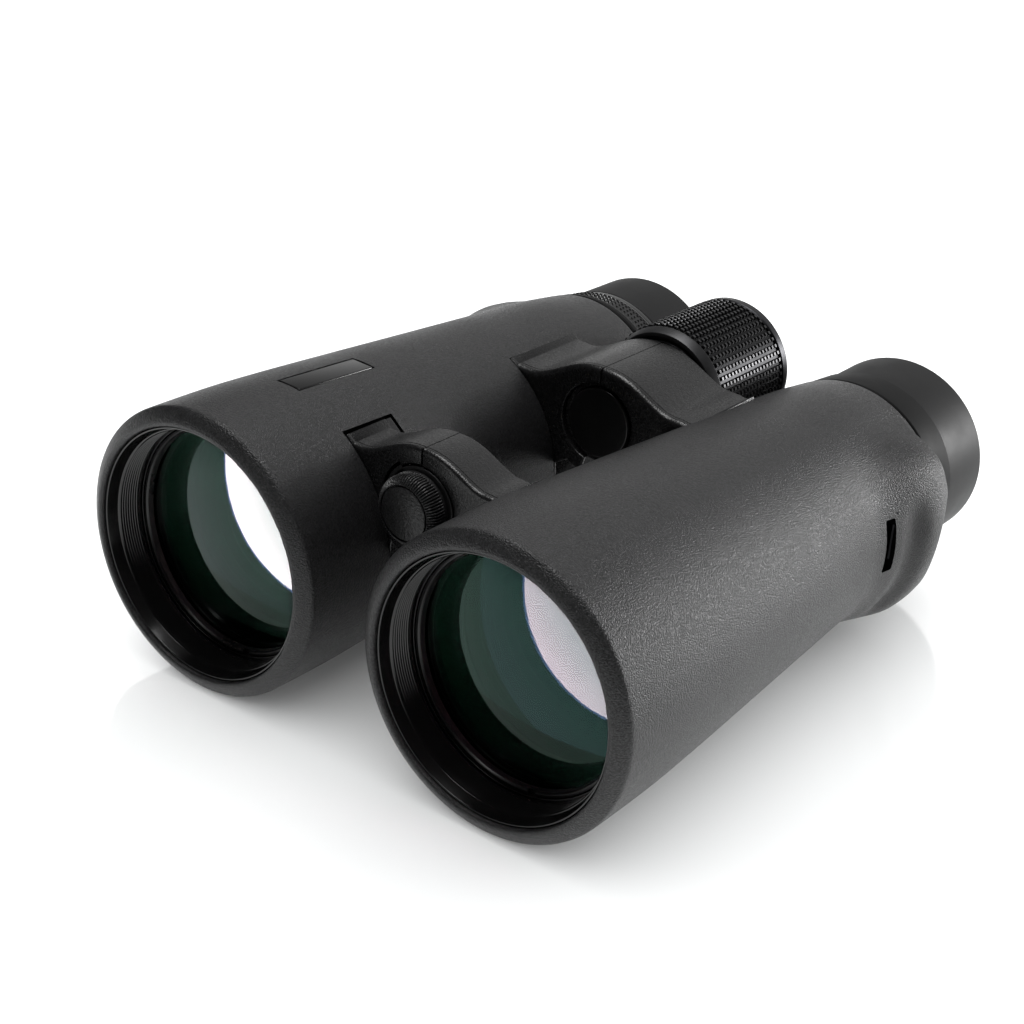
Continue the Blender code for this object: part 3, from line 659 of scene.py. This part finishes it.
def rounded_slab(name, points, start, end, back=0.5, line=0.0, steps=8):
    """Extrude an outline along Y with rounded rims and an optional fine parting line."""
    xy, shift, depth = inward(points)
    angles = np.linspace(math.pi / 2.0, 0.0, steps + 1)
    sections = [(1.0 - math.cos(a), start + depth * (1.0 - math.sin(a))) for a in angles]
    if line:
        share = line / depth.max()
        for offset, cut in ((0.30, 0.0), (0.36, share), (0.50, share), (0.56, 0.0)):
            sections.append((cut, start + depth + offset))
    rear = np.minimum(depth, back) / depth
    for a in angles[::-1]:
        sections.append(((1.0 - math.cos(a)) * rear, end - depth * rear * (1.0 - math.sin(a))))
    rows = []
    for share, station in sections:
        moved = xy + shift * np.reshape(share, (-1, 1))
        rows.append(np.stack([moved[:, 0], y_at(station), moved[:, 1]], axis=1))
    return loft(name, rows, True, False, True)


def make_tab(side, label, spec):
    """Flush tongue of the front arm that runs on past it in the skin."""
    proud = 0.12 if side < 0 else -0.15
    radius = barrel_radius(sum(spec["bridge"]) / 2.0) + proud
    low, high = spec["pad"]
    outline = arc(-AXIS_X, AXIS_Z, radius, low + 1.0, high, 40)
    outline += arc(-AXIS_X, AXIS_Z, radius - 1.8, high, low + 1.0, 40)
    points = [(x, z, 0.3) for x, z in flip(outline, side)]
    mesh = rounded_slab("front_tongue_" + label, points, spec["bridge"][0] + 0.1, spec["tab"])
    obj = link_object(mesh.name, mesh, ARM_RUBBER, label + "_half")
    return shade(obj, 50.0)


def make_arm(where, spec, label, side, knuckle):
    name = where + "_saddle_" + label
    proud = spec["proud"] if side < 0 else 0.0
    points = [(x if side < 0 else -x, z, w) for x, z, w in arm_outline(spec, proud)]
    mesh = rounded_slab(name, points, *spec["bridge"], line=0.08)
    obj = link_object(name, mesh, ARM_RUBBER, label + "_half")
    shade(obj, 38.0)
    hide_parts(where + "_arm_" + label)
    start, end, bore = knuckle
    ring = [(bore, start), (spec["disc"], start), (spec["disc"], end), (bore, end)]
    turned(where + "_knuckle_" + label, ring, 0.0, HUB_Z, SATIN, label + "_half",
           0.2, 96)
    web = arc(0.0, HUB_Z, spec["disc"] + 1.2, 125.0, 236.0, 30)
    web += arc(0.0, HUB_Z, spec["disc"] - 0.8, 236.0, 125.0, 30)
    mesh = prism_mesh(where + "_web_" + label, flip(web, side), start, end)
    link_object(where + "_web_" + label, mesh, SATIN, label + "_half")


def make_bridges():
    make_arm("front", FRONT, "left", -1.0, (21.4, 25.65, 5.3))
    make_arm("front", FRONT, "right", 1.0, (25.95, 31.6, 6.5))
    make_arm("rear", REAR, "left", -1.0, (75.2, 82.15, 5.8))
    make_arm("rear", REAR, "right", 1.0, (82.45, 93.9, 6.9))
    for label, side in SIDES:
        make_tab(side, label, FRONT)
    collar = [(7.25, 75.2), (7.25, 74.3, 0.1), (8.12, 74.2, 0.1), (8.12, 75.2)]
    turned("hub_collar", collar, 0.0, HUB_Z, ARM_RUBBER, "left_half", 0.1, 120)
    cover = [(0.0, 74.9), (7.1, 74.9), (7.1, 73.6, 0.5), (0.0, 73.6)]
    obj = turned("hub_cover", cover, 0.0, HUB_Z, COLLAR, "left_half", 0.1,
                 120, True, 6)
    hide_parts("rear_hub_cover")


# ------------------------------------------------------------------ objective end
OBJECTIVE_RADIUS = 21.7
EYE_LENS_RADIUS = 12.9


def thread_profile(radius, depth, start, end, pitch):
    """Inside thread drawn as a run of V grooves, from start to end."""
    made = []
    turns = int((end - start) / pitch)
    for i in range(turns):
        s = start + i * pitch
        made += [(radius, s), (radius, s + pitch * 0.25), (radius + depth, s + pitch * 0.62)]
    made.append((radius, start + turns * pitch))
    return made


def make_bezel(label, side):
    """Screwed-in front ring: smooth cone behind the rubber lip, then a filter thread."""
    x = side * AXIS_X
    outside = [(22.9, 7.9), (22.9, 2.9), (23.55, 2.9), (23.55, 1.0), (23.35, 0.75)]
    cone = [(23.1, 0.85), (22.55, 2.9), (22.35, 3.0)]
    bore = thread_profile(22.2, 0.3, 3.2, 7.5, 0.55)
    front = fillet(outside + cone + [bore[0]], 0.12, 3, False)[:-1]
    profile = front + bore + [(22.2, 7.6), (22.2, 7.9)]
    mesh = turned_mesh("bezel_ring_" + label, profile, x, AXIS_Z, 200, True)
    obj = shade(link_object("bezel_ring_" + label, mesh, GLOSS, label + "_half"), 28.0)
    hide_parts("bezel_" + label)


def make_retainer(label, side):
    x = side * AXIS_X
    ring = [(21.75, 8.4), (21.75, 9.85), (20.8, 9.85), (20.95, 8.75), (21.2, 8.4)]
    obj = turned("lens_ring_" + label, ring, x, AXIS_Z, BORE, label + "_half",
                 0.1, 160)
    tools = []
    for a in (102.0, 282.0):
        t = math.radians(a)
        spot = (x + 21.3 * math.cos(t), y_at(8.4), AXIS_Z + 21.3 * math.sin(t))
        tools.append(box_mesh("notch", spot, (1.5, 1.2, 2.6),
                              Matrix.Rotation(math.radians(90.0 - a), 4, "Y")))
    carve(obj, tools)
    shade(obj, 35.0)
    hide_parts("retaining_ring_" + label)


def dome(radius, edge, rise, steps):
    """Spherical cap from the axis to its rim, in equal steps of angle."""
    sphere = (radius ** 2 + rise ** 2) / (2.0 * abs(rise))
    made = []
    for i in range(steps + 1):
        r = radius * i / steps
        sag = sphere - math.sqrt(sphere ** 2 - r ** 2)
        made.append((r, edge + math.copysign(abs(rise) - sag, rise)))
    return made


def make_lens(name, side, front, back, radius, material, body, count=128):
    first = dome(radius, front[0], front[1], 24)
    second = dome(radius, back[0], back[1], 24)
    mesh = turned_mesh(name, first + second[::-1], side * AXIS_X, AXIS_Z, count, False)
    return shade(link_object(name, mesh, material, body), 50.0)


def make_objectives():
    for label, side in SIDES:
        make_bezel(label, side)
        make_retainer(label, side)
        front = make_lens("objective_front_" + label, side, (10.3, -2.3), (13.6, 1.4),
                          OBJECTIVE_RADIUS, FRONT_GLASS, label + "_half")
        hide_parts("objective_lens_" + label)
        make_lens("objective_back_" + label, side, (14.6, 1.3), (16.8, 0.5), OBJECTIVE_RADIUS,
                  BACK_GLASS, label + "_half")
        steps = [(22.45, 8.25), (22.45, 25.0), (20.1, 25.0), (20.1, 24.0)]
        steps += [(20.4, 17.3), (21.95, 17.3), (21.95, 8.25)]
        cell = turned("cell_" + label, steps, side * AXIS_X, AXIS_Z, BORE, label + "_half",
                      0.1, 120)
        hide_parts("objective_cell_" + label)
        ribs = [(21.4, 26.0), (21.4, 38.0), (17.6, 38.0)]
        for i in range(10):
            s = 37.4 - i * 1.15
            ribs += [(17.8 + i * 0.27, s), (18.6 + i * 0.25, s - 0.6)]
        ribs.append((20.5, 26.0))
        baffle = turned("ribbed_baffle_" + label, ribs, side * AXIS_X, AXIS_Z, BORE,
                        label + "_half", 0.03, 100, True, 2, 30.0)
        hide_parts("baffle_" + label)


# ------------------------------------------------------------------- eyepiece end
def knurl_rows(radius, start, end, around, along, height, cx, cz, land=0.62):
    """Rows of a sleeve covered in small raised pads on a square grid."""
    ramp = 0.10
    marks = np.array([0.0, ramp, land - ramp, land])
    lift = np.array([0.0, 1.0, 1.0, 0.0])
    turn = ((np.arange(around)[:, None] + marks) / around).ravel() * 2.0 * math.pi
    around_lift = np.tile(lift, around)
    pitch = (end - start) / (along - 1.0 + land)
    rows = []
    for i in range(along):
        for mark, share in zip(marks, lift):
            r = radius + height * share * around_lift
            y = y_at(start + pitch * (i + mark))
            rows.append(np.stack([cx + r * np.cos(turn), np.full(len(turn), y),
                                  cz + r * np.sin(turn)], axis=1))
    return rows, turn


def knurled_sleeve(name, radius, inner, start, end, around, along, height, cx, cz, material,
                   body, land=0.62):
    rows, angles = knurl_rows(radius, start, end, around, along, height, cx, cz, land)
    for station, r in ((end, inner), (start, inner)):
        rows.append(np.stack([cx + r * np.cos(angles), np.full(len(angles), y_at(station)),
                              cz + r * np.sin(angles)], axis=1))
    return shade(link_object(name, loft(name, rows, True, True), material, body), 30.0)


def make_eyepiece(label, side):
    x = side * AXIS_X
    end = END_Y - RIM_Y
    cup = [(18.3, 123.95), (19.2, 123.95, 0.35), (19.2, end, 1.4), (12.8, end, 1.2),
           (13.3, end - 1.5, 0.2), (18.3, end - 1.5, 0.1)]
    obj = turned("cup_" + label, cup, x, AXIS_Z, CUP, "cup_" + label, 0.2,
                 200, True, 8)
    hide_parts("eyecup_" + label)
    body = "ocular_left" if side < 0 else "right_half"
    lens = make_lens("eye_glass_" + label, side, (128.6, -1.3), (131.2, 1.2), EYE_LENS_RADIUS,
                     EYE_GLASS, body, 96)
    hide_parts("eye_lens_" + label)
    tube = [(14.9, 99.0), (14.9, 134.0, 0.3), (11.6, 134.35, 0.2), (12.4, 133.2), (13.2, 133.0),
            (13.2, 99.0)]
    obj = turned("ocular_" + label, tube, x, AXIS_Z, SATIN, body, 0.15, 120)
    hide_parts("ocular_tube_" + label)


def make_rings():
    ring = [(16.6, 114.6), (20.45, 114.6, 0.3), (20.6, 115.1), (19.85, 123.45, 0.3),
            (16.6, 123.45)]
    obj = turned("base_collar_right", ring, AXIS_X, AXIS_Z, CUFF, "right_half",
                 0.15, 200)
    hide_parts("base_ring_right")
    ring = [(16.6, 114.6), (20.45, 114.6, 0.3), (20.6, 115.1), (20.45, 116.35, 0.25),
            (17.4, 116.35), (17.4, 122.9), (16.6, 122.9)]
    obj = turned("base_collar_left", ring, -AXIS_X, AXIS_Z, CUFF, "left_half",
                 0.1, 200)
    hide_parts("base_ring_left")
    obj = knurled_sleeve("diopter_grip", 19.55, 17.7, 117.5, 121.2, 110, 4, 0.28, -AXIS_X, AXIS_Z,
                         SATIN, "diopter", 0.55)
    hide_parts("diopter_ring")
    rim = [(17.7, 116.7), (20.0, 116.7, 0.12), (20.0, 117.25, 0.12), (19.4, 117.5), (17.7, 117.5)]
    turned("diopter_front_band", rim, -AXIS_X, AXIS_Z, SATIN, "diopter", 0.1, 160)
    rear = [(17.5, 122.3), (19.35, 122.3, 0.15), (19.2, 123.7, 0.15), (17.5, 123.7)]
    turned("base_spacer_left", rear, -AXIS_X, AXIS_Z, COLLAR, "left_half", 0.1,
           160)
    rim = [(17.7, 121.2), (19.3, 121.2), (19.75, 121.4, 0.1), (19.6, 122.0, 0.15), (17.7, 122.0)]
    turned("diopter_back_band", rim, -AXIS_X, AXIS_Z, SATIN, "diopter", 0.1, 160)


# ------------------------------------------------------------------- focus drive
def make_focus():
    core = [(5.8, 95.1), (10.9, 95.1, 0.1), (11.2, 95.9, 0.1), (11.7, 95.9, 0.1),
            (11.86, 94.95, 0.1), (12.63, 94.95, 0.2), (13.45, 97.1, 0.25), (13.2, 97.35),
            (12.2, 97.35), (12.2, 119.3), (5.8, 119.3)]
    obj = turned("wheel_core", core, 0.0, HUB_Z, WHEEL_METAL, "focus_knob",
                 0.15, 200)
    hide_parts("focus_wheel")
    grip = knurled_sleeve("wheel_grip", 13.2, 12.4, 97.5, 119.3, 58, 18, 0.55, 0.0, HUB_Z,
                          WHEEL_GRIP, "focus_knob", 0.62)
    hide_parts("focus_grip")
    end = [(0.0, 119.6), (13.4, 119.6, 0.1), (13.7, 119.9, 0.2), (13.6, 121.7, 0.35),
           (12.9, 122.35, 0.3), (11.9, 122.35, 0.3), (11.2, 121.9, 0.3), (0.0, 121.9)]
    obj = turned("wheel_cap", end, 0.0, HUB_Z, ANODISED, "focus_knob", 0.2,
                 200, True, 5)
    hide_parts("focus_end_cap")


def serrated_rows(depth, count, stations, cx, cz, fine=6):
    total = count * fine
    angles = np.arange(total) * 2.0 * math.pi / total
    tooth = np.tile(np.array([0.0, 0.55, 0.95, 1.0, 0.95, 0.55]), count)
    rows = []
    for s, r, share in stations:
        rr = r - depth * share * (1.0 - tooth)
        rows.append(np.stack([cx + rr * np.cos(angles), np.full(total, y_at(s)),
                              cz + rr * np.sin(angles)], axis=1))
    return rows


def make_cap():
    """Screw cap: serrated coned rim, groove, and a textured disc in the middle."""
    stations = [(21.1, 0.0, 0.0), (21.1, 6.45, 0.0), (20.95, 6.65, 0.0), (20.3, 6.65, 0.0),
                (20.1, 6.62, 1.0), (18.7, 6.62, 1.0), (18.3, 6.5, 1.0), (17.8, 6.15, 1.0),
                (17.35, 5.6, 0.9), (17.2, 5.35, 0.3), (17.15, 5.2, 0.0), (17.6, 5.1, 0.0),
                (17.6, 4.95, 0.0), (17.15, 4.85, 0.0), (17.02, 4.65, 0.0), (17.0, 0.0, 0.0)]
    rows = serrated_rows(0.42, 78, stations, 0.0, HUB_Z)
    mesh = loft("cap_body", rows, True, False)
    obj = shade(link_object("cap_body", mesh, CAP_RUBBER, "cap"), 40.0)
    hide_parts("tripod_cap")
    stem = [(0.0, 21.1), (3.15, 21.1), (3.15, 27.2, 0.3), (0.0, 27.6)]
    turned("cap_stem", stem, 0.0, HUB_Z, ANODISED, "cap", 0.2, 60)


def make_plate():
    """Blank plate let into the top of the left-hand skin."""
    mesh = box_mesh("badge", plate_centre(PLATE_SINK), PLATE_SIZE, plate_turn())
    obj = link_object("badge", mesh, GLOSS, "left_half")
    bevel(obj, 0.28, 3)
    shade(bake(obj), 40.0)
    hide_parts("name_plate")


# --------------------------------------------------------------- kept CAD pieces
def dress_nodes():
    """Give each hidden piece that is kept as it is its material."""
    looks = {"housing": SATIN, "focus_cell": BORE, "prism_cage": ANODISED, "eyepiece_sleeve": SATIN,
             "eyecup_carrier": ANODISED, "eyecup_core": ANODISED, "strap_pin": ANODISED,
             "front_axle": STEEL, "rear_axle": ANODISED, "focus_spindle": STEEL,
             "front_bush": BRASS, "rear_bush": BRASS, "focus_carriage": BRASS,
             "cap_seal": ARM_RUBBER, "focus_lens": INNER_GLASS, "field_lens": INNER_GLASS,
             "helper_prism": PRISM_GLASS, "roof_prism": PRISM_GLASS}
    for name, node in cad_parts.items():
        look = looks.get(name.replace("_left", "").replace("_right", ""))
        if look:
            node.data.materials.clear()
            node.data.materials.append(look)


# ---------------------------------------------------------------------- the studio
FLOOR_REACH = 3000.0
FLOOR_Z = -0.02
CARD_STATION = -9.4
CARD_STEP = 0.1
MIRROR_DEPTH = 2.5


def make_floor():
    """Glossy white sheet with a faint glow of its own."""
    n = Nodes("studio_floor", 0.10)
    n.shader.inputs["Base Color"].default_value = (0.80, 0.81, 0.81, 1.0)
    n.shader.inputs["Specular IOR Level"].default_value = 0.5
    n.shader.inputs["Emission Color"].default_value = (1.0, 1.0, 1.0, 1.0)
    n.shader.inputs["Emission Strength"].default_value = 0.05
    rows = []
    for y in (-FLOOR_REACH, FLOOR_REACH):
        rows.append([(-FLOOR_REACH, y, FLOOR_Z), (FLOOR_REACH, y, FLOOR_Z)])
    mesh = loft("floor", rows, False, False)
    obj = bpy.data.objects.new("floor", mesh)
    mesh.materials.append(n.material)
    bpy.context.scene.collection.objects.link(obj)


def area(name, place, target, size, radiance, colour=(1.0, 1.0, 1.0), shape="RECTANGLE"):
    """Soft light; its power follows from its size and the brightness of its face."""
    data = bpy.data.lights.new(name, "AREA")
    data.shape = shape
    data.size = size[0] * MM
    face = size[0] * MM
    if shape == "RECTANGLE":
        data.size_y = size[1] * MM
        face *= size[1] * MM
    else:
        face *= face * math.pi / 4.0
    data.energy = radiance * math.pi * face
    data.color = colour
    obj = bpy.data.objects.new(name, data)
    bpy.context.scene.collection.objects.link(obj)
    obj.location = Vector(place) * MM
    aim = Vector(target) * MM - obj.location
    obj.rotation_euler = aim.to_track_quat("-Z", "Y").to_euler()
    obj.visible_camera = False
    return obj


def make_world():
    """Light dim in front and brighter behind; the backdrop itself is plain white."""
    world = bpy.data.worlds.new("studio")
    bpy.context.scene.world = world
    world.use_nodes = True
    tree = world.node_tree
    sky = tree.nodes["Background"]
    sky.inputs["Color"].default_value = (1.0, 1.0, 1.0, 1.0)
    coords = tree.nodes.new("ShaderNodeTexCoord")
    split = tree.nodes.new("ShaderNodeSeparateXYZ")
    tree.links.new(coords.outputs["Generated"], split.inputs["Vector"])
    back = tree.nodes.new("ShaderNodeMapRange")
    back.interpolation_type = "SMOOTHSTEP"
    for socket, value in (("From Min", 0.2), ("From Max", 1.0), ("To Min", 0.02),
                          ("To Max", 0.7)):
        back.inputs[socket].default_value = value
    tree.links.new(split.outputs["Y"], back.inputs["Value"])
    path = tree.nodes.new("ShaderNodeLightPath")
    backdrop = tree.nodes.new("ShaderNodeMath")
    backdrop.operation = "MAXIMUM"
    tree.links.new(back.outputs["Result"], backdrop.inputs[0])
    tree.links.new(path.outputs["Is Camera Ray"], backdrop.inputs[1])
    tree.links.new(backdrop.outputs["Value"], sky.inputs["Strength"])


LENS_CARDS = {
    "left": (((-15.0, 44.5), 75.2, 70.0, (1.0, 0.64, 0.66)),
             ((-15.0, 44.5), 76.8, 12.0, (0.38, 0.40, 1.0)),
             ((-30.0, 60.0), 168.0, 0.10, (0.46, 0.61, 1.0)),
             ((-30.0, 60.0), 300.0, 0.25, (0.70, 0.84, 1.0))),
    "right": (((52.2, 45.0), 65.8, 60.0, (1.0, 0.47, 0.54)),
              ((52.2, 45.0), 67.4, 12.0, (0.38, 0.36, 1.0)),
              ((49.0, 37.4), 88.2, 0.80, (0.53, 0.60, 1.0)),
              ((49.0, 37.4), 300.0, 0.42, (0.48, 0.95, 0.9))),
}


def first_bounce_only(data):
    """Let a card be seen by direct mirror reflections and by nothing after them."""
    data.use_nodes = True
    tree = data.node_tree
    path = tree.nodes.new("ShaderNodeLightPath")
    first = tree.nodes.new("ShaderNodeMath")
    first.operation = "LESS_THAN"
    first.inputs[1].default_value = MIRROR_DEPTH
    tree.links.new(path.outputs["Ray Depth"], first.inputs[0])
    tree.links.new(first.outputs["Value"], tree.nodes["Emission"].inputs["Strength"])


def make_lens_cards():
    """Round cards close in front of the barrels that only the front lenses mirror."""
    for label, cards in LENS_CARDS.items():
        seen = bpy.data.collections.new("front_glass_" + label)
        seen.objects.link(bpy.data.objects["objective_front_" + label])
        for i, ((x, z), width, radiance, colour) in enumerate(cards):
            y = y_at(CARD_STATION - CARD_STEP * i)
            card = area("card_%s_%d" % (label, i), (x, y, z), (x, y + 100.0, z), (width,),
                        radiance, colour, "DISK")
            first_bounce_only(card.data)
            card.light_linking.receiver_collection = seen


def floor_links(name, state):
    """Collection that gives a lamp only the floor, or everything except the floor."""
    links = bpy.data.collections.get(name)
    if links is None:
        links = bpy.data.collections.new(name)
        links.objects.link(bpy.data.objects["floor"])
        links.collection_objects[0].light_linking.link_state = state
    return links


def make_studio():
    make_floor()
    make_world()
    top = area("top_box", (-110.0, -60.0, 1080.0), (0.0, 0.0, 20.0), (800.0, 500.0), 7.6)
    back = area("side_box", (650.0, 900.0, 200.0), (0.0, 0.0, 30.0), (520.0, 280.0), 18.0)
    wash = area("floor_wash", (0.0, 0.0, 2600.0), (0.0, 0.0, 0.0), (15000.0, 15000.0), 1.8)
    wash.light_linking.receiver_collection = floor_links("floor_only", "INCLUDE")
    for lamp in (top, back):
        lamp.light_linking.receiver_collection = floor_links("all_but_floor", "EXCLUDE")
    make_lens_cards()


def make_camera():
    """Three-quarter view from the right front, a little above."""
    data = bpy.data.cameras.new("camera")
    data.lens = 67.23
    data.sensor_width = 36.0
    data.shift_x = -0.0762
    camera = bpy.data.objects.new("camera", data)
    bpy.context.scene.collection.objects.link(camera)
    right = Vector((0.8050, 0.5878, 0.0804))
    up = Vector((-0.31476, 0.30830, 0.89771))
    back = right.cross(up)
    place = Vector((188.41, -276.17, 184.38)) * MM
    basis = Matrix((right, up, back)).transposed().to_4x4()
    camera.matrix_world = Matrix.Translation(place) @ basis
    data.clip_start = 0.01
    bpy.context.scene.camera = camera
    bpy.context.scene.view_settings.view_transform = "Standard"


make_camera()
make_skins()
make_bridges()
make_objectives()
for tag, way in SIDES:
    make_eyepiece(tag, way)
make_rings()
make_focus()
make_cap()
make_plate()
dress_nodes()
make_studio()

bpy.context.view_layer.update()
